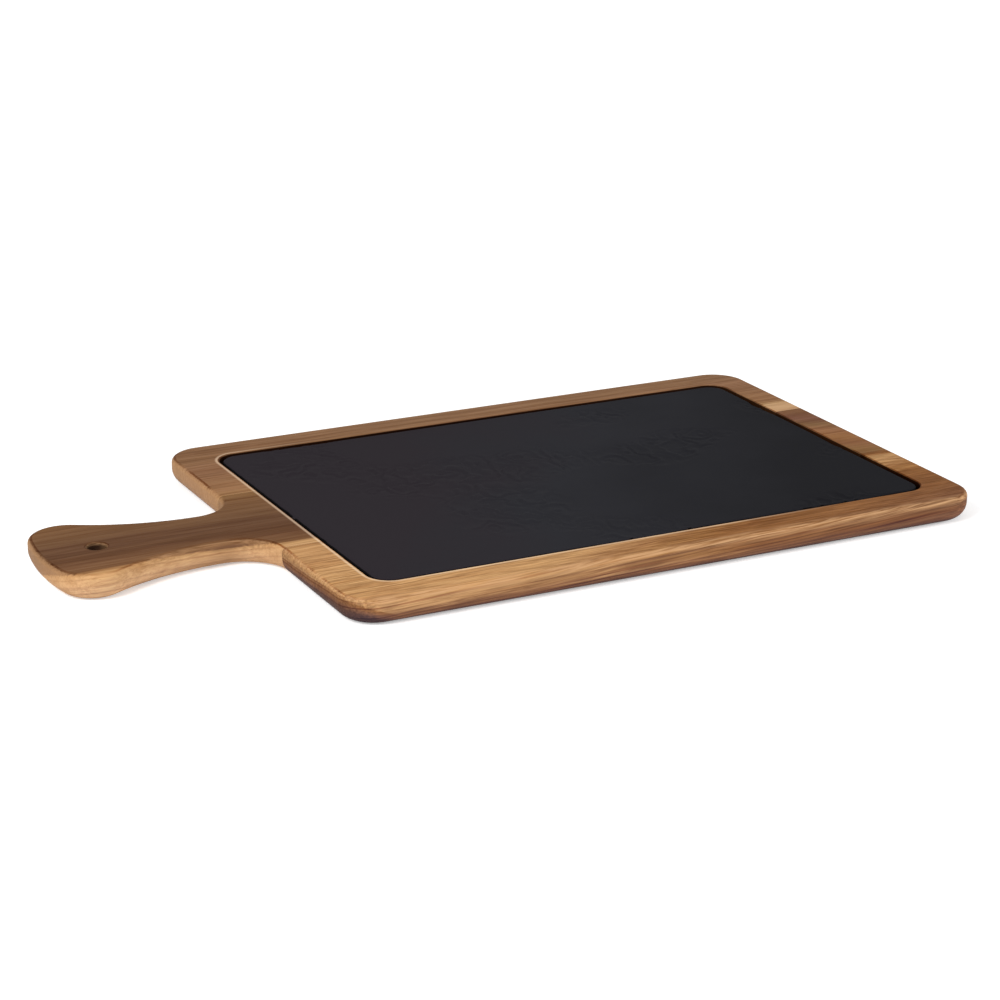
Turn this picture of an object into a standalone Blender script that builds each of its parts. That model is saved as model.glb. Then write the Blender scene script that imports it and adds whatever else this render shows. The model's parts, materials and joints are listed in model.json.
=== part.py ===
"""Acacia serving paddle with a drop-in slate plate, at real size in metres, +Z up.

Three staves are glued edge to edge into one panel. The panel has the paddle's outline and rounded rims,
and is sawn along the glue lines into its staves. A recess for the slate is routed into the top, and a hole
to hang the board by goes through the handle. The handle points to -X. The origin is on the underside,
halfway along the board.
"""

import math

import bmesh
import bpy
from mathutils import Vector

MM = 0.001

# Slate plate
SLATE_LENGTH = 297 * MM
SLATE_WIDTH = 195 * MM
SLATE_THICKNESS = 5 * MM
SLATE_CORNER_RADIUS = 9.5 * MM
SLATE_ARRIS = 0.6 * MM

# How the slate sits in the wood
SLATE_SIDE_GAP = 1.5 * MM
SLATE_BED_GAP = 0.3 * MM
SLATE_BELOW_RIM = 0.4 * MM

# Wood round the recess
RIM_AT_HANDLE = 20.5 * MM
RIM_AT_END = 18 * MM
RIM_AT_SIDES = 19.5 * MM
RECESS_ARRIS = 1 * MM

# Panel
THICKNESS = 13.5 * MM
BODY_CORNER_RADIUS = 18 * MM
TOP_ROUND = 2.5 * MM
BOTTOM_ROUND = 8 * MM
HANDLE_STAVE_WIDTH = 79 * MM
GLUE_LINE = 0.2 * MM

# Handle, a waisted paddle grip drawn with tangent arcs
HANDLE_LENGTH = 103.5 * MM
NECK_WIDTH = 39 * MM
NECK_FILLET = 19.5 * MM
FLARE_RADIUS = 114 * MM
TIP_CORNER_RADIUS = 18 * MM
TIP_RADIUS = 120 * MM

# Hanging hole
HOLE_DIAMETER = 9 * MM
HOLE_FROM_TIP = 28 * MM
HOLE_RIM_ROUND = 1.5 * MM

# Finishes, with the colours as 8-bit sRGB
LEFT_STAVE_COLOUR = (150, 110, 77)
HANDLE_STAVE_COLOUR = (122, 88, 60)
RIGHT_STAVE_COLOUR = (172, 128, 82)
SLATE_COLOUR = (44, 42, 45)
WOOD_ROUGHNESS = 0.5
SLATE_ROUGHNESS = 0.6

# Facets, which are at most this turned from each other and at most this long
ARC_STEP = math.radians(5)
ARC_CHORD = 3 * MM
TOP_ROUND_STEPS = 4
BOTTOM_ROUND_STEPS = 8
ARRIS_STEPS = 3
HOLE_SIDES = 40

# Cutters stand this far clear of what they cut
CUTTER_MARGIN = 5 * MM
WELD = 0.001 * MM
SMOOTH_BELOW = math.radians(30)

RECESS_LENGTH = SLATE_LENGTH + 2 * SLATE_SIDE_GAP
RECESS_WIDTH = SLATE_WIDTH + 2 * SLATE_SIDE_GAP
RECESS_CORNER_RADIUS = SLATE_CORNER_RADIUS + SLATE_SIDE_GAP
RECESS_DEPTH = SLATE_THICKNESS + SLATE_BED_GAP + SLATE_BELOW_RIM
RECESS_FLOOR = THICKNESS - RECESS_DEPTH

BODY_LENGTH = RIM_AT_HANDLE + RECESS_LENGTH + RIM_AT_END
BODY_WIDTH = RECESS_WIDTH + 2 * RIM_AT_SIDES
BOARD_LENGTH = HANDLE_LENGTH + BODY_LENGTH

TIP_X = -BOARD_LENGTH / 2
BODY_START_X = TIP_X + HANDLE_LENGTH
BODY_END_X = BOARD_LENGTH / 2
RECESS_X = BODY_START_X + RIM_AT_HANDLE + RECESS_LENGTH / 2
HOLE_X = TIP_X + HOLE_FROM_TIP

SAW_LINE = HANDLE_STAVE_WIDTH / 2
SIDE_STAVE_START_X = BODY_START_X - NECK_FILLET


def clear_scene():
    for obj in list(bpy.data.objects):
        bpy.data.objects.remove(obj)


def new_collection(name):
    collection = bpy.data.collections.new(name)
    bpy.context.scene.collection.children.link(collection)
    return collection


def new_material(name, colour, roughness):
    """A dielectric Principled material from an 8-bit sRGB colour."""
    material = bpy.data.materials.new(name)
    material.use_nodes = True
    shader = material.node_tree.nodes["Principled BSDF"]
    linear = [((c / 255 + 0.055) / 1.055) ** 2.4 for c in colour]
    shader.inputs["Base Color"].default_value = (*linear, 1)
    shader.inputs["Roughness"].default_value = roughness
    shader.inputs["Metallic"].default_value = 0
    return material


def arc(centre, radius, start, end):
    """Points along an arc, both ends included, with the angles in radians."""
    turn = abs(end - start)
    steps = max(math.ceil(turn / ARC_STEP), math.ceil(turn * radius / ARC_CHORD))
    angles = [start + (end - start) * i / steps for i in range(steps + 1)]
    return [Vector((centre[0] + radius * math.cos(a), centre[1] + radius * math.sin(a))) for a in angles]


def direction(origin, target):
    return math.atan2(target[1] - origin[1], target[0] - origin[0])


def circles_meet(centre_a, radius_a, centre_b, radius_b):
    """The point at these distances from two centres that lies furthest along the handle."""
    between = centre_b - centre_a
    apart = between.length
    along = (radius_a**2 - radius_b**2 + apart**2) / (2 * apart)
    across = math.sqrt(radius_a**2 - along**2)
    foot = centre_a + between * (along / apart)
    side = Vector((-between.y, between.x)) * (across / apart)
    return max(foot + side, foot - side, key=lambda point: point.x)


def handle_half_outline():
    """One side of the handle, as (distance from the body's end, half width), from the body to the tip.

    A tight fillet leaves the body, a long hollow flare widens towards the tip, and a rounded corner turns
    into the tip's shallow arc. Each arc is tangent to the next.
    """
    waist = NECK_WIDTH / 2
    fillet = Vector((NECK_FILLET, waist + NECK_FILLET))
    flare = Vector((NECK_FILLET, waist + FLARE_RADIUS))
    tip = Vector((HANDLE_LENGTH - TIP_RADIUS, 0))
    corner = circles_meet(flare, FLARE_RADIUS + TIP_CORNER_RADIUS, tip, TIP_RADIUS - TIP_CORNER_RADIUS)
    flare_end = direction(flare, corner)
    tip_start = direction(tip, corner)
    points = arc(fillet, NECK_FILLET, math.pi, 1.5 * math.pi)
    points += arc(flare, FLARE_RADIUS, -math.pi / 2, flare_end)[1:]
    points += arc(corner, TIP_CORNER_RADIUS, flare_end + math.pi, tip_start)[1:]
    points += arc(tip, TIP_RADIUS, tip_start, 0)[1:]
    return points


def paddle_outline():
    """The board's plan outline, anticlockwise from the body's plain end."""
    radius = BODY_CORNER_RADIUS
    corner_y = BODY_WIDTH / 2 - radius
    half = arc((BODY_END_X - radius, corner_y), radius, 0, math.pi / 2)
    half += arc((BODY_START_X + radius, corner_y), radius, math.pi / 2, math.pi)
    half += [Vector((BODY_START_X - along, out)) for along, out in handle_half_outline()]
    mirrored = [Vector((x, -y)) for x, y in reversed(half[:-1])]
    return half + mirrored


def rounded_rectangle(length, width, radius):
    """Outline round the origin, anticlockwise."""
    points = []
    for quarter, (side_x, side_y) in enumerate(((1, 1), (-1, 1), (-1, -1), (1, -1))):
        centre = (side_x * (length / 2 - radius), side_y * (width / 2 - radius))
        points += arc(centre, radius, quarter * math.pi / 2, (quarter + 1) * math.pi / 2)
    return points


def slab(name, outline, thickness):
    """A flat plate from z = 0 up, with each face one polygon."""
    curve = bpy.data.curves.new(name, "CURVE")
    curve.dimensions = "2D"
    curve.fill_mode = "BOTH"
    curve.extrude = thickness / 2
    spline = curve.splines.new("POLY")
    spline.points.add(len(outline) - 1)
    for point, (x, y) in zip(spline.points, outline):
        point.co = (x, y, 0, 1)
    spline.use_cyclic_u = True
    drawn = bpy.data.objects.new(name, curve)
    bpy.context.scene.collection.objects.link(drawn)
    drawn.location.z = thickness / 2
    bpy.context.view_layer.update()
    graph = bpy.context.evaluated_depsgraph_get()
    mesh = bpy.data.meshes.new_from_object(drawn.evaluated_get(graph))
    mesh.transform(drawn.matrix_world)
    bpy.data.objects.remove(drawn)

    shape = bmesh.new()
    shape.from_mesh(mesh)
    bmesh.ops.remove_doubles(shape, verts=shape.verts, dist=WELD)
    for level in (0, thickness):
        cap = [f for f in shape.faces if all(abs(v.co.z - level) < WELD for v in f.verts)]
        bmesh.ops.dissolve_faces(shape, faces=cap)
    bmesh.ops.recalc_face_normals(shape, faces=shape.faces)
    shape.to_mesh(mesh)
    shape.free()
    return mesh


def round_rim(mesh, level, radius, steps):
    """Rounds over the rim of the flat face at this height."""
    shape = bmesh.new()
    shape.from_mesh(mesh)
    rim = [e for e in shape.edges if all(abs(v.co.z - level) < WELD for v in e.verts)]
    bmesh.ops.bevel(shape, geom=rim, offset=radius, segments=steps, profile=0.5, affect="EDGES", material=-1)
    shape.to_mesh(mesh)
    shape.free()


def mouth_steps(radius):
    """(outward, down) steps of a rounded arris, from the wall below it to the flat face above it."""
    quarter = [math.pi / 2 * i / ARRIS_STEPS for i in range(ARRIS_STEPS + 1)]
    return [(radius * (1 - math.cos(a)), radius * (1 - math.sin(a))) for a in quarter]


def recess_cutter():
    """The slate's recess, from its floor to above the board, opening out over the rounded arris at the top."""
    levels = [(0, RECESS_FLOOR)]
    levels += [(out, THICKNESS - down) for out, down in mouth_steps(RECESS_ARRIS)]
    levels += [(RECESS_ARRIS, THICKNESS + CUTTER_MARGIN)]
    shape = bmesh.new()
    rings = []
    for out, height in levels:
        length = RECESS_LENGTH + 2 * out
        width = RECESS_WIDTH + 2 * out
        outline = rounded_rectangle(length, width, RECESS_CORNER_RADIUS + out)
        corners = [shape.verts.new((RECESS_X + x, y, height)) for x, y in outline]
        rings.append([shape.edges.new(pair) for pair in zip(corners, corners[1:] + corners[:1])])
    for lower, upper in zip(rings, rings[1:]):
        bmesh.ops.bridge_loops(shape, edges=lower + upper)
    for end in (rings[0], rings[-1]):
        bmesh.ops.edgeloop_fill(shape, edges=end)
    bmesh.ops.recalc_face_normals(shape, faces=shape.faces)
    mesh = bpy.data.meshes.new("recess_cutter")
    shape.to_mesh(mesh)
    shape.free()
    return bpy.data.objects.new("recess_cutter", mesh)


def hole_cutter():
    """The hanging hole, eased at both faces, as a profile turned about its own axis."""
    bore = HOLE_DIAMETER / 2
    mouth = mouth_steps(HOLE_RIM_ROUND)
    wide = bore + HOLE_RIM_ROUND
    profile = [(0, THICKNESS + CUTTER_MARGIN), (wide, THICKNESS + CUTTER_MARGIN)]
    profile += [(bore + out, THICKNESS - down) for out, down in reversed(mouth)]
    profile += [(bore + out, down) for out, down in mouth]
    profile += [(wide, -CUTTER_MARGIN), (0, -CUTTER_MARGIN)]
    shape = bmesh.new()
    points = [shape.verts.new((x, 0, z)) for x, z in profile]
    for pair in zip(points, points[1:]):
        shape.edges.new(pair)
    mesh = bpy.data.meshes.new("hole_cutter")
    shape.to_mesh(mesh)
    shape.free()
    cutter = bpy.data.objects.new("hole_cutter", mesh)
    cutter.location.x = HOLE_X
    turn = cutter.modifiers.new("turn", "SCREW")
    turn.steps = HOLE_SIDES
    turn.render_steps = HOLE_SIDES
    turn.use_merge_vertices = True
    turn.merge_threshold = WELD
    return cutter


def side_box(name, side, from_line):
    """A box over one side of the body, from a line along the board out past its edge. Side is 1 or -1."""
    length = BODY_END_X + CUTTER_MARGIN - SIDE_STAVE_START_X
    width = BODY_WIDTH / 2 + CUTTER_MARGIN - from_line
    height = THICKNESS + 2 * CUTTER_MARGIN
    centre = (SIDE_STAVE_START_X + length / 2, side * (from_line + width / 2), THICKNESS / 2)
    shape = bmesh.new()
    bmesh.ops.create_cube(shape, size=1)
    bmesh.ops.scale(shape, vec=(length, width, height), verts=shape.verts)
    bmesh.ops.translate(shape, vec=centre, verts=shape.verts)
    mesh = bpy.data.meshes.new(name)
    shape.to_mesh(mesh)
    shape.free()
    return bpy.data.objects.new(name, mesh)


def boolean(obj, operation, cutter):
    cut = obj.modifiers.new(cutter.name, "BOOLEAN")
    cut.operation = operation
    cut.solver = "EXACT"
    cut.object = cutter


def shade(mesh):
    mesh.shade_smooth()
    mesh.set_sharp_from_angle(angle=SMOOTH_BELOW)


def panel_mesh():
    """The whole glued-up panel: the paddle's outline, softly rounded above and fully rounded below."""
    mesh = slab("panel", paddle_outline(), THICKNESS)
    round_rim(mesh, THICKNESS, TOP_ROUND, TOP_ROUND_STEPS)
    round_rim(mesh, 0, BOTTOM_ROUND, BOTTOM_ROUND_STEPS)
    shade(mesh)
    return mesh


def slate_mesh():
    """The slate plate, with its arrises broken on both faces."""
    outline = rounded_rectangle(SLATE_LENGTH, SLATE_WIDTH, SLATE_CORNER_RADIUS)
    mesh = slab("slate_plate", outline, SLATE_THICKNESS)
    for level in (SLATE_THICKNESS, 0):
        round_rim(mesh, level, SLATE_ARRIS, steps=1)
    shade(mesh)
    return mesh


def build():
    clear_scene()
    parts = new_collection("slate_serving_board")
    cutters = new_collection("cutters")

    board = bpy.data.objects.new("board_frame", None)
    parts.objects.link(board)

    def add_piece(name, mesh, material):
        piece = bpy.data.objects.new(name, mesh)
        piece.data.materials.append(material)
        piece.parent = board
        parts.objects.link(piece)
        return piece

    def add_cutter(cutter):
        cutter.hide_render = True
        cutter.display_type = "WIRE"
        cutters.objects.link(cutter)
        return cutter

    panel = panel_mesh()
    recess = add_cutter(recess_cutter())
    hole = add_cutter(hole_cutter())

    handle_acacia = new_material("acacia_handle", HANDLE_STAVE_COLOUR, WOOD_ROUGHNESS)
    left_acacia = new_material("acacia_left", LEFT_STAVE_COLOUR, WOOD_ROUGHNESS)
    right_acacia = new_material("acacia_right", RIGHT_STAVE_COLOUR, WOOD_ROUGHNESS)
    handle_stave = add_piece("handle_stave", panel.copy(), handle_acacia)
    for name, side, acacia in (("left_stave", 1, left_acacia), ("right_stave", -1, right_acacia)):
        stave = add_piece(name, panel.copy(), acacia)
        boolean(stave, "INTERSECT", add_cutter(side_box(name + "_saw", side, SAW_LINE + GLUE_LINE)))
        boolean(stave, "DIFFERENCE", recess)
        boolean(handle_stave, "DIFFERENCE", add_cutter(side_box(name + "_room", side, SAW_LINE)))
    boolean(handle_stave, "DIFFERENCE", recess)
    boolean(handle_stave, "DIFFERENCE", hole)

    slate = add_piece("slate_plate", slate_mesh(), new_material("slate", SLATE_COLOUR, SLATE_ROUGHNESS))
    slate.location = (RECESS_X, 0, RECESS_FLOOR + SLATE_BED_GAP)


build()
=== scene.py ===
"""Looks of an acacia serving paddle with a plate of riven slate lying in its top.

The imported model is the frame. The three staves keep their solids' shape and get solid wood, worked out from
where each stave grew in its tree, so that top, sides and end grain agree. The glue lines between them are
filled, and the slate gets its cleft face and hand-dressed edge. Lengths are in millimetres until they reach
a mesh, which is in metres.
"""

import json
import math

import bmesh
import bpy
from mathutils import Matrix, Vector, noise


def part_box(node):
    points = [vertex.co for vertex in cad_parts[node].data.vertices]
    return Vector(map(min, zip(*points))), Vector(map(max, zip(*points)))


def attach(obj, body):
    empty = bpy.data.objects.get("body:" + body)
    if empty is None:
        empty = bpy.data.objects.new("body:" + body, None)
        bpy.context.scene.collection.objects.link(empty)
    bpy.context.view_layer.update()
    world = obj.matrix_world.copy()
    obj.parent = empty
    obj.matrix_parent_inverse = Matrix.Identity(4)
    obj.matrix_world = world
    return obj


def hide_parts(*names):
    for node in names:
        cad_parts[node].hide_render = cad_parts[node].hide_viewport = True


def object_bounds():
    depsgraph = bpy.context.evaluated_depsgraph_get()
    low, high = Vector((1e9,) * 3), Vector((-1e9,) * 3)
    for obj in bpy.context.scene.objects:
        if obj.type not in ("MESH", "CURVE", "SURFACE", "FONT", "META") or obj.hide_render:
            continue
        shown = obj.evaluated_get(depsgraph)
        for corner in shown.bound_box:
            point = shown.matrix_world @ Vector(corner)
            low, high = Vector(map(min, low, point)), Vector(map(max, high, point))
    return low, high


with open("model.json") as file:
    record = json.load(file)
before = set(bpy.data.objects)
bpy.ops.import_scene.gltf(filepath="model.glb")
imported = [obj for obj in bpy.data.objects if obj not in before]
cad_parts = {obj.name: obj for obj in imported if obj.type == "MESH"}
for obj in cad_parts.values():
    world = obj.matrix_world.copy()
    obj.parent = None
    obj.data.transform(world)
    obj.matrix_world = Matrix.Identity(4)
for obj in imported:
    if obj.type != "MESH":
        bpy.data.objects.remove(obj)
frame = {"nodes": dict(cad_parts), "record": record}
cad_low, cad_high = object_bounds()

MM = 0.001

# The photograph's camera, round a point on the board's top
CAMERA_TARGET = (3.44, -23.7, 13.5)
CAMERA_AZIMUTH = math.radians(-27.554)
CAMERA_ELEVATION = math.radians(19.261)
CAMERA_ROLL = math.radians(0.607)
CAMERA_DISTANCE = 1271.5
CAMERA_SENSOR = 36
CAMERA_LENS = 94.44

# Wood
MERGE = 0.005
FLAT_WITHIN = math.radians(0.2)
SHARP_FROM = math.radians(40)
# How far the fibres wave along, across and up the board, and the growth wanders, from one end to the other
FIBRE_WAVE = Vector((0, 8, 4))
GROWTH_WANDER = 2.4
# Millimetres of growth over which two fronts of heartwood run into each other
FRONTS_MEET = 0.3
# Noise keeps within these nearly everywhere
NOISE_SPAN = {"From Min": 0.3, "From Max": 0.7}
# Painted sheen and rubbed-off oil beside the board's long upper edges: where they begin, where they are full,
# and their share there
SHEEN_AND_WEAR_BEGINS = 6.5
SHEEN_AND_WEAR_FULL = 1.0
SHEEN_AND_WEAR_SHARE = 0.533
# From the slate out to the recess's brink: the gap round the slate, and the arris
SLATE_TO_BRINK = 2.5
# Painted highlight on the top beside the recess's brink: its width out from the brink, and how far its edge
# fades
BRINK_HIGHLIGHT = 1.2
BRINK_FADE = 0.4
# Painted highlight along the brink is strongest at the near corner by the handle. This direction leads away
# from that corner, and along it the highlight is full up to one place and gone past the other.
AWAY_FROM_HIGHLIGHT = (1, 0.9, 0)
HIGHLIGHT_FULL_TO = -10
HIGHLIGHT_GONE_FROM = 60
HANGING_HOLE = frame["record"]["physics"]["openings"][0]
# Painted shade in the hanging hole, out to this distance from its axis and fading over the next
HOLE_SHADED = 5.0
HOLE_FADE = 0.4
# The hanging hole gets less painted shade than the recess's wall
HOLE_SHADE_SHARE = 0.7

# Slate
SLATE_CELL = 1.0
SLATE_CORNER_RADIUS = 9.5
SLATE_SWELL = 0.12
SLATE_FLAKE = 0.8
# Flakes lie this many to one rise of the noise, and each ends in a step over this part of it
SLATE_FLAKES = 2.2
SLATE_STEP = 0.22
# Where in the noise the plate's scars are read from, which sets where they lie
SLATE_SCARS = Vector((14.06, 1.5, 17.4))
SLATE_CHIP = 0.12
SLATE_BEVEL = 1.1
# The edge from the bevel down to the underside, as steps outward and depths below the top
SLATE_EDGE = ((0.5, 0.35), (0.45, 0.8), (0.0, 4.4), (-0.5, 5.0))
# A face whose normal rises or falls by less than this is knapped edge, and is painted near black for the
# shade in the gap round the plate
SLATE_STEEP = 0.78

# Studio, in metres: soft light from all round, and a floor that glows by the board and is white further off
AMBIENT = 0.45
FLOOR_REACH = 6
FLOOR_GLOW = 0.35
WHITE_FROM = 0.2
WHITE_TO = 0.6
# The floor lies a hair below the board, and what is closer to it than this counts as resting on it
FLOOR_BELOW = 0.02 * MM
RESTING = 0.5 * MM


def linear(colour):
    """An sRGB hex colour as linear RGBA."""
    channels = [int(colour[i : i + 2], 16) / 255 for i in (1, 3, 5)]
    return (*(c / 12.92 if c <= 0.04045 else ((c + 0.055) / 1.055) ** 2.4 for c in channels), 1)


def add_node(tree, kind, inputs=None, **settings):
    """A shader node with its settings, and its inputs set to values or linked to other nodes' outputs."""
    node = tree.nodes.new("ShaderNode" + kind)
    for key, value in settings.items():
        setattr(node, key, value)
    for key, value in (inputs or {}).items():
        if isinstance(value, bpy.types.NodeSocket):
            tree.links.new(value, node.inputs[key])
        else:
            node.inputs[key].default_value = value
    return node


def new_material(name):
    """A material, its node tree and its shader."""
    material = bpy.data.materials.new(name)
    material.use_nodes = True
    return material, material.node_tree, material.node_tree.nodes["Principled BSDF"]


def set_ramp(node, stops):
    """Fills a colour ramp with (position, hex colour) stops."""
    ramp = node.color_ramp
    while len(ramp.elements) > 1:
        ramp.elements.remove(ramp.elements[-1])
    for number, (position, colour) in enumerate(stops):
        element = ramp.elements[0] if number == 0 else ramp.elements.new(position)
        element.position = position
        element.color = linear(colour)


def grain(tree, where, size, detail=2, roughness=0.5):
    """Noise drawn out to a grain's length, width and height in millimetres."""
    drawn = add_node(tree, "VectorMath", {0: where, 1: [1 / s for s in size]}, operation="MULTIPLY")
    inputs = {"Vector": drawn.outputs[0], "Scale": 1, "Detail": detail, "Roughness": roughness}
    return add_node(tree, "TexNoise", inputs)


def growth_at(tree, place, slopes):
    """Millimetres of growth, from what each millimetre along, across and up adds, and the start."""
    along = add_node(tree, "VectorMath", {0: place, 1: slopes[:3]}, operation="DOT_PRODUCT")
    return add_node(tree, "Math", {0: along.outputs["Value"], 1: slopes[3]}, operation="ADD").outputs[0]


def tinted(tree, colour, amount, stops, blend="MULTIPLY", share=1):
    """A colour with a ramp of (position, hex colour) stops laid over it."""
    tint = add_node(tree, "ValToRGB", {0: amount})
    set_ramp(tint, stops)
    inputs = {"Factor": share, 6: colour, 7: tint.outputs["Color"]}
    return add_node(tree, "Mix", inputs, data_type="RGBA", blend_type=blend).outputs[2]


def out_of_recess(tree, place):
    """Millimetres outward from the brink of the recess, whose corners are round."""
    low, high = (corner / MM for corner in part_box("slate_plate"))
    middle = (low + high) / 2
    core = (high - low) / 2 - Vector((SLATE_CORNER_RADIUS, SLATE_CORNER_RADIUS, 0))
    from_middle = add_node(tree, "VectorMath", {0: place, 1: (middle.x, middle.y, 0)}, operation="SUBTRACT")
    either_side = add_node(tree, "VectorMath", {0: from_middle.outputs[0]}, operation="ABSOLUTE")
    from_core = add_node(
        tree, "VectorMath", {0: either_side.outputs[0], 1: (core.x, core.y, 0)}, operation="SUBTRACT"
    )
    past_core = add_node(tree, "VectorMath", {0: from_core.outputs[0], 1: (0, 0, 0)}, operation="MAXIMUM")
    flat = add_node(tree, "VectorMath", {0: past_core.outputs[0], 1: (1, 1, 0)}, operation="MULTIPLY")
    to_core = add_node(tree, "VectorMath", {0: flat.outputs[0]}, operation="LENGTH").outputs["Value"]
    brink_radius = SLATE_CORNER_RADIUS + SLATE_TO_BRINK
    return add_node(tree, "Math", {0: to_core, 1: brink_radius}, operation="SUBTRACT").outputs[0]


def painted_brink_highlight(tree, place, from_brink, on_top):
    """How much painted highlight lies on the recess's brink, most towards the near corner by the handle."""
    lit_to, unlit_from = BRINK_HIGHLIGHT - BRINK_FADE, BRINK_HIGHLIGHT + BRINK_FADE
    brink = add_node(
        tree, "MapRange", {"Value": from_brink, "From Min": unlit_from, "From Max": lit_to}
    ).outputs[0]
    brink = add_node(tree, "Math", {0: brink, 1: on_top}, operation="MULTIPLY").outputs[0]
    away = add_node(tree, "VectorMath", {0: place, 1: AWAY_FROM_HIGHLIGHT}, operation="DOT_PRODUCT").outputs["Value"]
    highlight_reach = add_node(
        tree, "MapRange", {"Value": away, "From Min": HIGHLIGHT_GONE_FROM, "From Max": HIGHLIGHT_FULL_TO}
    ).outputs[0]
    return add_node(tree, "Math", {0: brink, 1: highlight_reach}, operation="MULTIPLY").outputs[0]


def painted_wall_shade(tree, place, inside, level):
    """How much painted shade lies on the walls of the recess and of the hanging hole, up to the rounding at
    their tops.
    """
    low, high = (Vector(corner) / MM for corner in HANGING_HOLE["box_m"])
    hole = (low + high) / 2
    from_hole = add_node(tree, "VectorMath", {0: place, 1: (hole.x, hole.y, 0)}, operation="SUBTRACT")
    beside_hole = add_node(tree, "VectorMath", {0: from_hole.outputs[0], 1: (1, 1, 0)}, operation="MULTIPLY")
    to_hole = add_node(tree, "VectorMath", {0: beside_hole.outputs[0]}, operation="LENGTH").outputs["Value"]
    unshaded_from = HOLE_SHADED + HOLE_FADE
    in_hole = add_node(
        tree,
        "MapRange",
        {"Value": to_hole, "From Min": unshaded_from, "From Max": HOLE_SHADED, "To Max": HOLE_SHADE_SHARE},
    ).outputs[0]
    cut_in = add_node(tree, "Math", {0: inside, 1: in_hole}, operation="MAXIMUM").outputs[0]
    upright = add_node(tree, "MapRange", {"Value": level, "From Min": 0.85, "From Max": 0.57}).outputs[0]
    return add_node(tree, "Math", {0: cut_in, 1: upright}, operation="MULTIPLY").outputs[0]


def painted_edge_sheen_and_wear(tree, place, fibres, upward, across_fibres, outside, sheen_and_wear_strength):
    """How much painted sheen, along with oil rubbed off, lies in streaks round the upper edges."""
    # Nothing on flats and sides, and most half-way round an upper edge
    off_flat = add_node(tree, "Math", {0: 1, 1: upward}, operation="SUBTRACT").outputs[0]
    rounded = add_node(tree, "Math", {0: off_flat, 1: upward}, operation="MULTIPLY", use_clamp=True)
    rounded = add_node(tree, "Math", {0: rounded.outputs[0], 1: outside}, operation="MULTIPLY").outputs[0]
    # Round the ends of the fibres the painted sheen and wear are weaker
    sheen_share = add_node(
        tree,
        "MapRange",
        {"Value": across_fibres, "From Min": 0.5, "From Max": 0.9, "To Min": 2.2, "To Max": 0.8},
    ).outputs[0]
    edge_sheen_and_wear = add_node(tree, "Math", {0: rounded, 1: sheen_share}, operation="MULTIPLY").outputs[0]
    # Along the fibres the painted sheen and wear reach some way on either side of the board's long upper
    # edges too
    long_edge = (0, cad_high.y / MM, cad_high.z / MM)
    either_side = add_node(tree, "VectorMath", {0: place}, operation="ABSOLUTE").outputs[0]
    from_edge = add_node(tree, "VectorMath", {0: either_side, 1: long_edge}, operation="SUBTRACT").outputs[0]
    beside_edge = add_node(tree, "VectorMath", {0: from_edge, 1: (0, 1, 1)}, operation="MULTIPLY").outputs[0]
    to_edge = add_node(tree, "VectorMath", {0: beside_edge}, operation="LENGTH").outputs["Value"]
    # Squared below, so that most of it goes within a few millimetres
    near_edge = add_node(
        tree,
        "MapRange",
        {"Value": to_edge, "From Min": SHEEN_AND_WEAR_BEGINS, "From Max": SHEEN_AND_WEAR_FULL, "To Max": math.sqrt(SHEEN_AND_WEAR_SHARE)},
    ).outputs[0]
    near_edge = add_node(tree, "Math", {0: near_edge, 1: 2}, operation="POWER").outputs[0]
    edge_sheen_and_wear = add_node(tree, "Math", {0: edge_sheen_and_wear, 1: near_edge}, operation="MAXIMUM").outputs[0]
    streak = grain(tree, fibres, (24, 1.5, 0.5), detail=3).outputs["Fac"]
    least, most = 0.3 * sheen_and_wear_strength, 1.7 * sheen_and_wear_strength
    streak = add_node(
        tree,
        "MapRange",
        {"Value": streak, "From Min": 0.38, "From Max": 0.62, "To Min": least, "To Max": most},
    ).outputs[0]
    return add_node(tree, "Math", {0: edge_sheen_and_wear, 1: streak}, operation="MULTIPLY", use_clamp=True).outputs[0]


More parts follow.
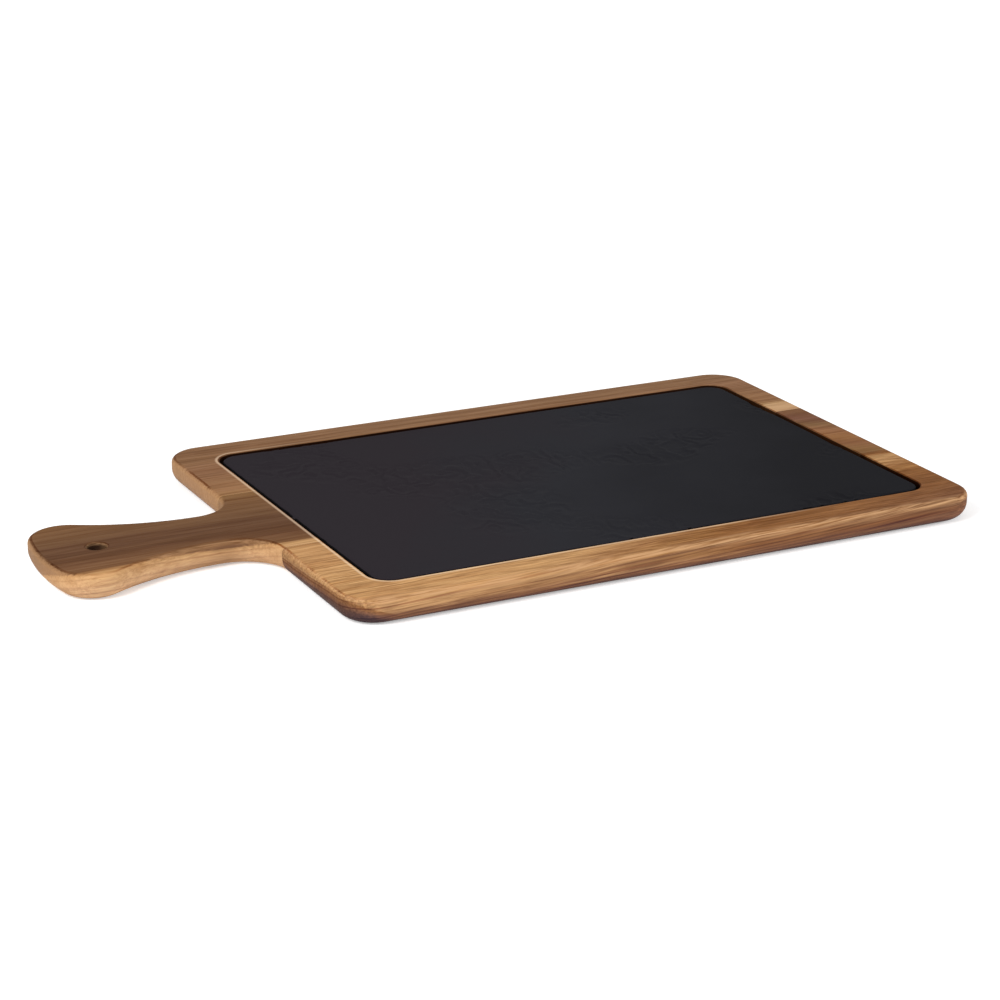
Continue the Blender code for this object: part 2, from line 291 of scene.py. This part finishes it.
def acacia(
    name, growth, tones, end_grain, feather, layers, streaks, sheen_and_wear_strength, lean=0, bow=0, bow_x=0, fronts=()
):
    """Planed, sanded and oiled acacia.

    Colour goes by the distance through the tree's growth, from heartwood out to sapwood, which gives long
    soft bands on a face sawn along the growth and thin layers on one sawn across it. Fibres give lengthwise
    streaks, and open pores give short dark dashes. End grain drinks the oil and evens out to one tone. The
    upper edges get a painted sheen in pale streaks, along with the oil rubbed off them, and what faces down
    is painted paler and greyer for the light thrown up from the white floor. The recess's wall and the
    hanging hole get painted shade, and the recess's brink a painted highlight, strongest towards the near
    corner by the handle.

    Growth and other fronts of heartwood are given as (x, y, z, start): how much of a millimetre of growth
    each millimetre along, across and up the board is, and the growth at the board's origin. The growth bows
    with the square of the distance from bow_x along the board. End grain is given as its tone and how much
    of that shows on a face square to the fibres. Feather is how many millimetres of growth a boundary
    between two colours frays by along the fibres, layers how strongly the seasons' growth shows on a side,
    streaks how much the fibres differ from each other, and lean how much the fibres rise for each
    millimetre along the board. The strength of the painted sheen and the rubbed-off oil round the edges is
    given too.
    """
    material, tree, shader = new_material(name)
    coordinates = add_node(tree, "TexCoord").outputs["Object"]
    place = add_node(tree, "VectorMath", {0: coordinates, "Scale": 1 / MM}, operation="SCALE").outputs[0]
    x = add_node(tree, "SeparateXYZ", {0: place}).outputs["X"]
    geometry = add_node(tree, "NewGeometry")
    facing = add_node(tree, "SeparateXYZ", {0: geometry.outputs["Normal"]})
    upward = facing.outputs["Z"]
    level = add_node(tree, "Math", {0: upward}, operation="ABSOLUTE").outputs[0]
    across_fibres = add_node(tree, "Math", {0: facing.outputs["X"]}, operation="ABSOLUTE").outputs[0]

    # No tree grows true: the fibres wave by a millimetre or two over some 90 mm of length
    wave = grain(tree, place, (90, 40, 40))
    waving = add_node(
        tree,
        "VectorMath",
        {0: wave.outputs["Color"], 1: FIBRE_WAVE, 2: -FIBRE_WAVE / 2},
        operation="MULTIPLY_ADD",
    ).outputs[0]
    fibres = add_node(tree, "VectorMath", {0: place, 1: waving}, operation="ADD").outputs[0]
    fibres = add_node(
        tree, "VectorMath", {0: x, 1: (0, 0, -lean), 2: fibres}, operation="MULTIPLY_ADD"
    ).outputs[0]
    wander = add_node(
        tree,
        "Math",
        {0: wave.outputs["Fac"], 1: GROWTH_WANDER, 2: -GROWTH_WANDER / 2},
        operation="MULTIPLY_ADD",
    ).outputs[0]
    band = grain(tree, fibres, (130, 5, 5), detail=3).outputs["Fac"]
    fibre = grain(tree, fibres, (45, 1, 1), detail=4, roughness=0.6).outputs["Fac"]
    # Pores are a fifth of a millimetre wide, and drawn at half a millimetre so that they show
    pore = grain(tree, fibres, (9, 0.5, 0.5), detail=1).outputs["Fac"]

    from_bow = add_node(tree, "Math", {0: x, 1: bow_x}, operation="SUBTRACT").outputs[0]
    bowed = add_node(tree, "Math", {0: from_bow, 1: from_bow}, operation="MULTIPLY").outputs[0]
    grown = growth_at(tree, place, growth)
    straight = add_node(tree, "Math", {0: grown, 1: wander}, operation="ADD").outputs[0]
    heart = add_node(tree, "Math", {0: bowed, 1: bow, 2: straight}, operation="MULTIPLY_ADD").outputs[0]
    for front in fronts:
        reach = growth_at(tree, place, front)
        heart = add_node(
            tree, "Math", {0: heart, 1: reach, 2: FRONTS_MEET}, operation="SMOOTH_MIN"
        ).outputs[0]
    fray = add_node(
        tree, "MapRange", {"Value": fibre, **NOISE_SPAN, "To Min": -feather, "To Max": feather}
    ).outputs[0]
    heart = add_node(tree, "Math", {0: heart, 1: fray}, operation="ADD").outputs[0]
    first, last = tones[0][0], tones[-1][0]
    along_tones = add_node(tree, "MapRange", {"Value": heart, "From Min": first, "From Max": last})
    tone = add_node(tree, "ValToRGB", {0: along_tones.outputs[0]})
    set_ramp(tone, [((depth - first) / (last - first), colour) for depth, colour in tones])

    # Each season's growth is a little darker or lighter than the next, about 1.4 mm apart
    along_layers = growth_at(tree, place, (-lean * growth[2], *growth[1:]))
    layer = add_node(tree, "Math", {0: along_layers, 1: wander}, operation="ADD").outputs[0]
    season_place = add_node(tree, "CombineXYZ", {"X": x, "Y": layer}).outputs[0]
    season = grain(tree, season_place, (130, 1.4, 1), detail=3).outputs["Fac"]
    # The board's flat faces lie along the layers and show them less than its sides do
    layers_show = add_node(
        tree,
        "MapRange",
        {"Value": level, "From Min": 0.95, "From Max": 0.5, "To Min": 0.34, "To Max": layers},
    ).outputs[0]

    from_brink = out_of_recess(tree, place)
    inside = add_node(tree, "Math", {0: from_brink, 1: 0}, operation="LESS_THAN").outputs[0]
    outside = add_node(tree, "Math", {0: 1, 1: inside}, operation="SUBTRACT").outputs[0]
    on_top = add_node(tree, "Math", {0: upward, 1: outside}, operation="MULTIPLY", use_clamp=True).outputs[0]
    brink = painted_brink_highlight(tree, place, from_brink, on_top)
    wall_shade = painted_wall_shade(tree, place, inside, level)
    edge_sheen_and_wear = painted_edge_sheen_and_wear(tree, place, fibres, upward, across_fibres, outside, sheen_and_wear_strength)
    # Here and there the colour darkens in a line where the top turns over into end grain
    dark_turn = grain(tree, place, (20, 25, 20)).outputs["Fac"]
    dark_turn = add_node(tree, "MapRange", {"Value": dark_turn, "From Min": 0.4, "From Max": 0.6, "To Max": 4})
    dark_turn = add_node(
        tree, "Math", {0: dark_turn.outputs[0], 1: across_fibres}, operation="MULTIPLY", use_clamp=True
    ).outputs[0]
    # Painted light: what faces down is screened paler and greyer, standing in for light thrown up from the
    # white floor
    floor_bounce = add_node(tree, "MapRange", {"Value": upward, "From Min": 0.25, "From Max": -0.35}).outputs[0]
    end_tone, end_share = end_grain
    end = add_node(
        tree, "MapRange", {"Value": across_fibres, "From Min": 0.5, "From Max": 0.95, "To Max": end_share}
    ).outputs[0]

    colour = tone.outputs["Color"]
    colour = tinted(tree, colour, season, [(0.34, "#B7988E"), (0.52, "#FFFFFF")], share=layers_show)
    colour = tinted(tree, colour, band, [(0.3, "#E6DCD2"), (0.55, "#FFFFFF")])
    # Overlaid, a middle grey of BCBCBC leaves the wood as it is, and darker and paler ones shade it
    fibre_span = 0.2 / streaks
    fibre_tones = [(0.5 - fibre_span, "#9C9894"), (0.5 + fibre_span, "#CDCECE")]
    colour = tinted(tree, colour, fibre, fibre_tones, blend="OVERLAY")
    colour = tinted(tree, colour, pore, [(0.64, "#FFFFFF"), (0.8, "#DED3C7")])
    # Painted light from the white floor on what faces down
    colour = tinted(tree, colour, floor_bounce, [(0, "#000000"), (1, "#1E2430")], blend="SCREEN")
    colour = add_node(
        tree, "Mix", {"Factor": end, 6: colour, 7: linear(end_tone)}, data_type="RGBA"
    ).outputs[2]
    dark_turn_tone = [(0.74, "#FFFFFF"), (0.86, "#B08660"), (0.985, "#B08660"), (1, "#FFFFFF")]
    colour = tinted(tree, colour, upward, dark_turn_tone, share=dark_turn)
    # Painted shade on the recess's wall and in the hanging hole
    colour = tinted(tree, colour, wall_shade, [(0, "#FFFFFF"), (1, "#4A3A2E")])
    # Painted sheen, along with the oil rubbed off, pales the upper edges in streaks towards this tone
    colour = add_node(
        tree, "Mix", {"Factor": edge_sheen_and_wear, 6: colour, 7: linear("#C69B71")}, data_type="RGBA"
    ).outputs[2]
    # Painted highlight along the recess's brink
    colour = tinted(tree, colour, brink, [(0, "#000000"), (1, "#A08B76")], blend="SCREEN")
    tree.links.new(colour, shader.inputs["Base Color"])

    ripple = grain(tree, fibres, (14, 3, 3)).outputs["Fac"]
    relief = add_node(tree, "Math", {0: fibre, 1: 0.3, 2: ripple}, operation="MULTIPLY_ADD")
    bump = add_node(tree, "Bump", {"Strength": 0.5, "Distance": 0.3 * MM, "Height": relief.outputs[0]})
    tree.links.new(bump.outputs[0], shader.inputs["Normal"])
    # Sanding leaves the pale fibres between the pores smoothest
    polish = add_node(tree, "MapRange", {"Value": fibre, **NOISE_SPAN, "To Min": 0.5, "To Max": 0.34})
    tree.links.new(polish.outputs[0], shader.inputs["Roughness"])
    # The oil sinks in, so the surface mirrors next to nothing
    shader.inputs["Specular IOR Level"].default_value = 0.006
    return material


def centre_acacia():
    """Brown heartwood sawn nearly along its rings, with sapwood along the lower near edge."""
    return acacia(
        "oiled_acacia_heartwood",
        growth=(0, -0.3, -1, 4.1),
        bow=-1.74e-4,
        bow_x=-160,
        end_grain=("#B48C64", 0.45),
        feather=0.45,
        layers=0.45,
        streaks=0.6,
        sheen_and_wear_strength=0.4,
        tones=[
            (-44.4, "#7E583C"),
            (-40.4, "#7A523F"),
            (-37, "#836242"),
            (-33.4, "#986C4B"),
            (-29.8, "#9F7249"),
            (-26.2, "#906545"),
            (-22.4, "#86623C"),
            (-18.4, "#785639"),
            (-13, "#6F5037"),
            (-9.9, "#654732"),
            (-7.4, "#60422D"),
            (-5, "#66462F"),
            (-2.4, "#755339"),
            (-0.75, "#7B583B"),
            (0.2, "#B48A5D"),
            (1.4, "#C79D6E"),
            (6, "#D2AA7D"),
        ],
    )


def left_acacia():
    """Reddish heartwood sawn across its rings, with cream sapwood beside the joint."""
    return acacia(
        "oiled_acacia_reddish",
        growth=(0.04, -0.94, 0.34, 37.8),
        end_grain=("#B68E66", 0.5),
        feather=1.5,
        layers=0.8,
        streaks=0.9,
        sheen_and_wear_strength=0.5,
        tones=[
            (-62, "#8A674A"),
            (-52, "#8D6A4C"),
            (-40, "#8F694C"),
            (-29, "#8D674A"),
            (-17, "#966F4E"),
            (-6, "#976F4D"),
            (-1, "#A07A54"),
            (1.5, "#BC966C"),
            (4, "#C8A279"),
        ],
    )


def right_acacia():
    """Honey sapwood over brown heartwood, which comes up and takes it over towards the plain end."""
    return acacia(
        "oiled_acacia_honey",
        growth=(0.35, 0.06, 1, 36.1),
        fronts=[
            (-0.0137, 0.048, -0.09, 7.47),
            (-0.003, 0, 1, -4.6),
            (-0.02, -0.3, 0, -8.8),
            (0, 0, 0.05, 0.4),
        ],
        end_grain=("#4A3120", 0.4),
        feather=0.2,
        layers=1,
        streaks=1.4,
        sheen_and_wear_strength=1,
        lean=0.04,
        tones=[
            (-8, "#50372C"),
            (-4, "#583C2E"),
            (-2.2, "#7E563C"),
            (-1.2, "#8A5E39"),
            (0, "#8B5D34"),
            (0.2, "#9C6F42"),
            (0.55, "#A5784D"),
            (0.85, "#B58A5D"),
            (1.1, "#C09464"),
            (4, "#C69A6A"),
        ],
    )


def slate_stone():
    """Riven slate, split along its bedding: nearly black and matt, and its knapped edge painted near black
    for the shade in the gap round the plate.
    """
    material, tree, shader = new_material("riven_slate")
    coordinates = add_node(tree, "TexCoord").outputs["Object"]
    place = add_node(tree, "VectorMath", {0: coordinates, "Scale": 1 / MM}, operation="SCALE").outputs[0]
    cloud = add_node(tree, "TexNoise", {"Vector": place, "Scale": 1 / 60, "Detail": 3})
    # Painted light and shade: the stone is made paler towards the far left and darker towards the near plain
    # end
    painted_light_falloff = add_node(tree, "VectorMath", {0: place, 1: (1 / 300, -1 / 500, 0)}, operation="DOT_PRODUCT")
    depth = add_node(
        tree, "Math", {0: cloud.outputs["Fac"], 1: 0.5, 2: painted_light_falloff.outputs["Value"]}, operation="MULTIPLY_ADD"
    )
    tone = add_node(tree, "ValToRGB", {0: depth.outputs[0]})
    set_ramp(tone, [(0.1, "#2A262A"), (0.45, "#28282C"), (0.95, "#1D1D20")])
    edge = add_node(tree, "Attribute", attribute_name="painted_shade_edge")
    # Painted shade: the knapped edge is made near black, standing in for the shadow in the gap round the
    # plate
    colour = add_node(
        tree,
        "Mix",
        {"Factor": edge.outputs["Fac"], 6: tone.outputs["Color"], 7: linear("#0E0D0E")},
        data_type="RGBA",
    )
    tree.links.new(colour.outputs[2], shader.inputs["Base Color"])
    grit = add_node(tree, "TexNoise", {"Vector": place, "Scale": 1 / 1.2, "Detail": 5, "Roughness": 0.6})
    bump = add_node(tree, "Bump", {"Strength": 0.2, "Distance": 0.1 * MM, "Height": grit.outputs["Fac"]})
    tree.links.new(bump.outputs[0], shader.inputs["Normal"])
    shader.inputs["Roughness"].default_value = 0.5
    shader.inputs["Specular IOR Level"].default_value = 0.003
    return material


def glue():
    """Wood glue dried in the joint, a hairline darker than the wood on either side."""
    material, tree, shader = new_material("dried_wood_glue")
    coordinates = add_node(tree, "TexCoord")
    streak = add_node(tree, "TexNoise", {"Vector": coordinates.outputs["Object"], "Scale": 1 / (6 * MM)})
    tone = add_node(tree, "ValToRGB", {0: streak.outputs["Fac"]})
    set_ramp(tone, [(0.35, "#3E2B1E"), (0.65, "#4C3727")])
    tree.links.new(tone.outputs["Color"], shader.inputs["Base Color"])
    shader.inputs["Roughness"].default_value = 0.5
    shader.inputs["Specular IOR Level"].default_value = 0.006
    return material


def new_piece(name, shape, material, body):
    """A finished bmesh as a smooth-shaded object that rides on a body."""
    mesh = bpy.data.meshes.new(name)
    shape.to_mesh(mesh)
    shape.free()
    mesh.materials.append(material)
    mesh.shade_smooth()
    mesh.set_sharp_from_angle(angle=SHARP_FROM)
    piece = bpy.data.objects.new(name, mesh)
    bpy.context.scene.collection.objects.link(piece)
    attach(piece, body)
    return piece


def cad_shape(node):
    """A CAD node's solid with its triangles merged and each flat face made whole."""
    shape = bmesh.new()
    shape.from_mesh(frame["nodes"][node].data)
    bmesh.ops.remove_doubles(shape, verts=shape.verts, dist=MERGE * MM)
    bmesh.ops.dissolve_limit(shape, angle_limit=FLAT_WITHIN, verts=shape.verts, edges=shape.edges)
    return shape


def stave(node, material):
    """A stave as its solid is, with the light running smoothly round its rounded edges only."""
    shape = cad_shape(node)
    piece = new_piece(node + "_acacia", shape, material, "board")
    weighted = piece.modifiers.new("flat faces stay flat", "WEIGHTED_NORMAL")
    weighted.keep_sharp = True
    weighted.weight = 100
    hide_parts(node)
    return piece


def glue_line(name, stave_node, side, material):
    """The film of glue between two staves, as deep as the gap and with the joint's own outline."""
    shape = cad_shape("handle_stave")
    joint_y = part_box("handle_stave")[1].y * side
    gap = abs(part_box(stave_node)[0 if side > 0 else 1].y - joint_y)
    others = []
    for face in shape.faces:
        beside_joint = abs(face.calc_center_median().y - joint_y) < MERGE * MM
        if face.normal.y * side < 0.99 or not beside_joint:
            others.append(face)
    bmesh.ops.delete(shape, geom=others, context="FACES")
    film = bmesh.ops.extrude_face_region(shape, geom=shape.faces)
    moved = [v for v in film["geom"] if isinstance(v, bmesh.types.BMVert)]
    bmesh.ops.translate(shape, vec=(0, gap * side, 0), verts=moved)
    bmesh.ops.recalc_face_normals(shape, faces=shape.faces)
    return new_piece(name, shape, material, "board")


def riven(x, y):
    """Height of the cleft face in mm: shallow swells, and patches of flakes' scars with curved steps."""
    swell = noise.fractal((x / 80, y / 60, 3.1), 1.0, 2.0, 2)
    flake = SLATE_FLAKES * noise.fractal((x / 21, y / 27, 8.7), 0.9, 2.1, 3)
    rest = flake - math.floor(flake)
    drop = min(1, rest / SLATE_STEP)
    scar = rest - drop * drop * (3 - 2 * drop)
    patch = max(0, min(1, 4 * (noise.noise(SLATE_SCARS + Vector((x / 55, y / 42, 0))) - 0.15)))
    return SLATE_SWELL * (swell - 1) + SLATE_FLAKE * patch * scar


def slate_plate(material):
    """The plate with its cleft top, a bevel knapped round the edge with a hand tool, and a sawn underside."""
    low, high = (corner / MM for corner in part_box("slate_plate"))
    centre = (low + high) / 2
    thickness = high.z - low.z
    half = (high - low) / 2 - Vector((SLATE_BEVEL, SLATE_BEVEL, 0))
    radius = SLATE_CORNER_RADIUS - SLATE_BEVEL
    core = half - Vector((radius, radius, 0))
    shape = bmesh.new()
    bmesh.ops.create_grid(
        shape, x_segments=round(2 * half.x / SLATE_CELL), y_segments=round(2 * half.y / SLATE_CELL), size=1
    )
    bmesh.ops.scale(shape, vec=(half.x, half.y, 1), verts=shape.verts)

    def out_of_core(vert):
        """How far a point lies outside the rectangle between the corners' centres."""
        return Vector((
            math.copysign(max(0, abs(vert.co.x) - core.x), vert.co.x),
            math.copysign(max(0, abs(vert.co.y) - core.y), vert.co.y),
            0,
        ))

    for vert in shape.verts:
        # Each corner's square of the grid is drawn in to a quarter of a circle
        out = out_of_core(vert)
        if out.x and out.y:
            vert.co += out * (max(abs(out.x), abs(out.y)) / out.length - 1)
    rim = [edge for edge in shape.edges if edge.is_boundary]
    for vert in shape.verts:
        vert.co.z = riven(vert.co.x, vert.co.y)
    for outward, depth in SLATE_EDGE:
        ring = bmesh.ops.extrude_edge_only(shape, edges=rim)["geom"]
        rim = [edge for edge in ring if isinstance(edge, bmesh.types.BMEdge)]
        for vert in {vert for edge in rim for vert in edge.verts}:
            chip = noise.fractal((vert.co.x / 6, vert.co.y / 6, depth), 0.8, 2.0, 3)
            vert.co += out_of_core(vert).normalized() * (outward + SLATE_CHIP * chip)
            top = riven(vert.co.x, vert.co.y) * (1 - depth / thickness)
            vert.co.z = top - min(thickness, depth + SLATE_CHIP * chip)
    bmesh.ops.edgeloop_fill(shape, edges=rim)
    bmesh.ops.translate(shape, vec=(centre.x, centre.y, high.z), verts=shape.verts)
    bmesh.ops.scale(shape, vec=(MM, MM, MM), verts=shape.verts)
    bmesh.ops.recalc_face_normals(shape, faces=shape.faces)
    # Faces of the knapped edge are marked for the painted shade
    edge = shape.faces.layers.float.new("painted_shade_edge")
    for face in shape.faces:
        face[edge] = abs(face.normal.z) < SLATE_STEEP
    piece = new_piece("slate_plate_riven", shape, material, "slate")
    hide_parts("slate_plate")
    return piece


def set_camera():
    """The photograph's camera, as its angles round the target and its distance give it."""
    back = Vector((
        math.sin(CAMERA_AZIMUTH) * math.cos(CAMERA_ELEVATION),
        -math.cos(CAMERA_AZIMUTH) * math.cos(CAMERA_ELEVATION),
        math.sin(CAMERA_ELEVATION),
    ))
    turn = (-back).to_track_quat("-Z", "Y").to_matrix().to_4x4() @ Matrix.Rotation(CAMERA_ROLL, 4, "Z")
    data = bpy.data.cameras.new("camera")
    data.sensor_width = CAMERA_SENSOR
    data.lens = CAMERA_LENS
    camera = bpy.data.objects.new("camera", data)
    camera.matrix_world = Matrix.Translation((Vector(CAMERA_TARGET) + back * CAMERA_DISTANCE) * MM) @ turn
    bpy.context.scene.collection.objects.link(camera)
    bpy.context.scene.camera = camera


def add_lamp(name, place, size, power):
    """A square softbox that faces the board. Place and size are in metres, and power in watts."""
    data = bpy.data.lights.new(name, "AREA")
    data.size = size
    data.energy = power
    lamp = bpy.data.objects.new(name, data)
    lamp.location = place
    lamp.rotation_mode = "QUATERNION"
    lamp.rotation_quaternion = (-Vector(place)).to_track_quat("-Z", "Y")
    bpy.context.scene.collection.objects.link(lamp)


def seen_directly(tree):
    """1 for rays from the camera, mirrors and glass, and 0 for the rays that light a surface."""
    path = add_node(tree, "LightPath")
    camera, mirror, glass = (path.outputs[f"Is {kind} Ray"] for kind in ("Camera", "Glossy", "Transmission"))
    either = add_node(tree, "Math", {0: camera, 1: mirror}, operation="MAXIMUM").outputs[0]
    return add_node(tree, "Math", {0: either, 1: glass}, operation="MAXIMUM").outputs[0]


def set_world():
    """Faint white light from all round, and plain white where the camera looks past the floor."""
    world = bpy.data.worlds.new("studio")
    world.use_nodes = True
    tree = world.node_tree
    background = tree.nodes["Background"]
    strength = add_node(tree, "MapRange", {"Value": seen_directly(tree), "To Min": AMBIENT, "To Max": 1.0})
    tree.links.new(strength.outputs[0], background.inputs["Strength"])
    background.inputs["Color"].default_value = linear("#FFFFFF")
    bpy.context.scene.world = world


def white_sweep():
    """Matt white paper, burnt out to white away from the board as a cut-out picture's background is."""
    material, tree, shader = new_material("white_sweep")
    shader.inputs["Base Color"].default_value = linear("#F2F2F2")
    shader.inputs["Roughness"].default_value = 0.9
    shader.inputs["Specular IOR Level"].default_value = 0
    coordinates = add_node(tree, "TexCoord").outputs["Object"]
    far = add_node(tree, "VectorMath", {0: coordinates}, operation="LENGTH").outputs["Value"]
    burnt = add_node(
        tree,
        "MapRange",
        {"Value": far, "From Min": WHITE_FROM, "From Max": WHITE_TO, "To Min": FLOOR_GLOW, "To Max": 1},
        interpolation_type="SMOOTHSTEP",
    )
    lift = add_node(tree, "Math", {0: burnt.outputs[0], 1: seen_directly(tree)}, operation="MULTIPLY")
    tree.links.new(lift.outputs[0], shader.inputs["Emission Strength"])
    shader.inputs["Emission Color"].default_value = linear("#FFFFFF")
    # Seen from underneath the floor is clear, and it lets light through to the face that lies on it
    geometry = add_node(tree, "NewGeometry")
    path = add_node(tree, "LightPath")
    resting = add_node(tree, "Math", {0: path.outputs["Ray Length"], 1: RESTING}, operation="LESS_THAN")
    hidden = add_node(
        tree, "Math", {0: geometry.outputs["Backfacing"], 1: resting.outputs[0]}, operation="MAXIMUM"
    )
    clear = add_node(tree, "BsdfTransparent")
    either = add_node(tree, "MixShader", {0: hidden.outputs[0], 1: shader.outputs[0], 2: clear.outputs[0]})
    tree.links.new(either.outputs[0], tree.nodes["Material Output"].inputs["Surface"])
    return material


def add_floor(material):
    """The sweep that the board lies on, which isn't part of it."""
    shape = bmesh.new()
    bmesh.ops.create_grid(shape, x_segments=1, y_segments=1, size=FLOOR_REACH)
    mesh = bpy.data.meshes.new("floor")
    shape.to_mesh(mesh)
    shape.free()
    mesh.materials.append(material)
    floor = bpy.data.objects.new("floor", mesh)
    floor.location.z = -FLOOR_BELOW
    bpy.context.scene.collection.objects.link(floor)


stave("left_stave", left_acacia())
stave("handle_stave", centre_acacia())
stave("right_stave", right_acacia())
dried_glue = glue()
glue_line("left_glue_line", "left_stave", 1, dried_glue)
glue_line("right_glue_line", "right_stave", -1, dried_glue)
slate_plate(slate_stone())
set_camera()
set_world()
# A large softbox to the left, and a small low one to the right and front
add_lamp("key_softbox", place=(-1, -0.4, 0.8), size=0.6, power=14.4)
add_lamp("low_softbox", place=(1.2, -0.75, 0.5), size=0.5, power=11.4)
add_floor(white_sweep())
bpy.context.scene.view_settings.view_transform = "Standard"
